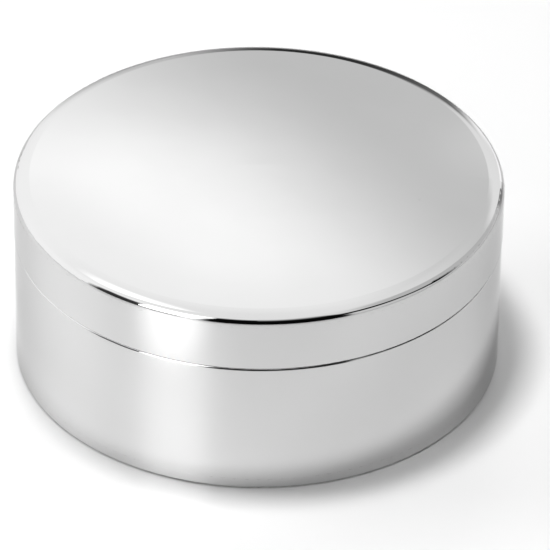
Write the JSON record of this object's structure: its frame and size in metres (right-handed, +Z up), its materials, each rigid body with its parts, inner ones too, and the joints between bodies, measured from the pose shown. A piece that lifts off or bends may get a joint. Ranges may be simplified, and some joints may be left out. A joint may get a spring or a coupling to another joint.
{
  "type": "tooth keepsake box",
  "caption": "Small round box of polished silver-plated metal: a plain drum with an inner collar, a shallow domed lift-off lid that slides over it, and a velvet lining on card and wadding",
  "frame": {"origin": "centre of the flat underside, on the surface the box stands on", "axes": "+Z up along the axis of the round box, the way the lid lifts; +Y away from the viewer, towards the butt joint of the wall lining"},
  "size_m": [0.045, 0.045, 0.0201],
  "materials": {
    "silver_plate": "silver plate on sheet metal, mirror polished with faint fine polishing marks",
    "velvet": "deep blue short-pile velvet",
    "card": "plain grey-brown lining card",
    "wadding": "white wadding"
  },
  "bodies": {
    "drum": {"bottom_plate": "silver_plate", "drum_wall": "silver_plate", "collar": "silver_plate", "wall_card": "card", "wall_velvet": "velvet", "floor_card": "card", "floor_wadding": "wadding", "floor_velvet": "velvet"},
    "lid": {"lid_skirt": "silver_plate", "lid_top": "silver_plate", "lid_card": "card", "lid_wadding": "wadding", "lid_velvet": "velvet"}
  },
  "joints": [
    {"name": "lid_lift", "type": "slide", "parent": "drum", "child": "lid", "axis": [0, 0, 1], "range_m": [0, 0.03]}
  ]
}
